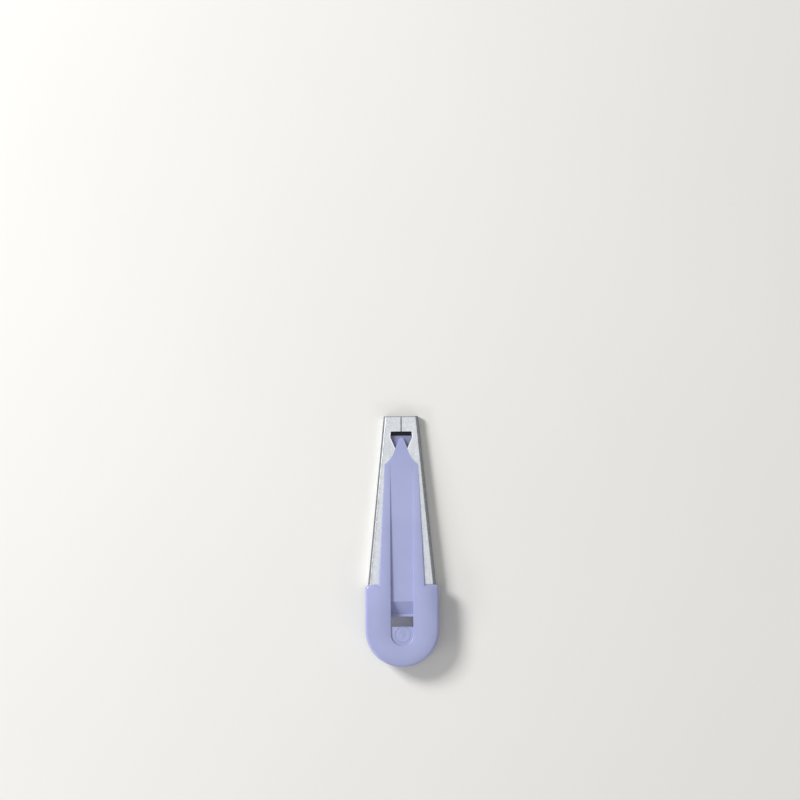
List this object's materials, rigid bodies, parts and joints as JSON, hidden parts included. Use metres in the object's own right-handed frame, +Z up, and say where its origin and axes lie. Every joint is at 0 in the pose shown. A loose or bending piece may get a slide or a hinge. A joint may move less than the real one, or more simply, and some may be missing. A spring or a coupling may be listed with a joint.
{
  "type": "bias tape maker",
  "caption": "Hand tool that folds a bias-cut cloth strip into narrow tape: a tapered plated metal folder with a moulded lavender web guide, folding tongue and round-ended handle",
  "frame": {"origin": "Middle of the tool's length and width, on the plane that the metal's flat underside rests on", "axes": "+Y points along the tool to the narrow end, +Z up, +X to the right seen from the handle"},
  "size_m": [0.0206, 0.0698, 0.0074],
  "materials": {
    "plated_sheet": "bright satin plating over thin sheet steel",
    "tongue_plastic": "satin lavender moulding",
    "guide_plastic": "satin lavender moulding"
  },
  "bodies": {
    "root": {"metal_folder": "plated_sheet", "folding_tongue": "tongue_plastic", "guide_handle": "guide_plastic"}
  },
  "joints": []
}
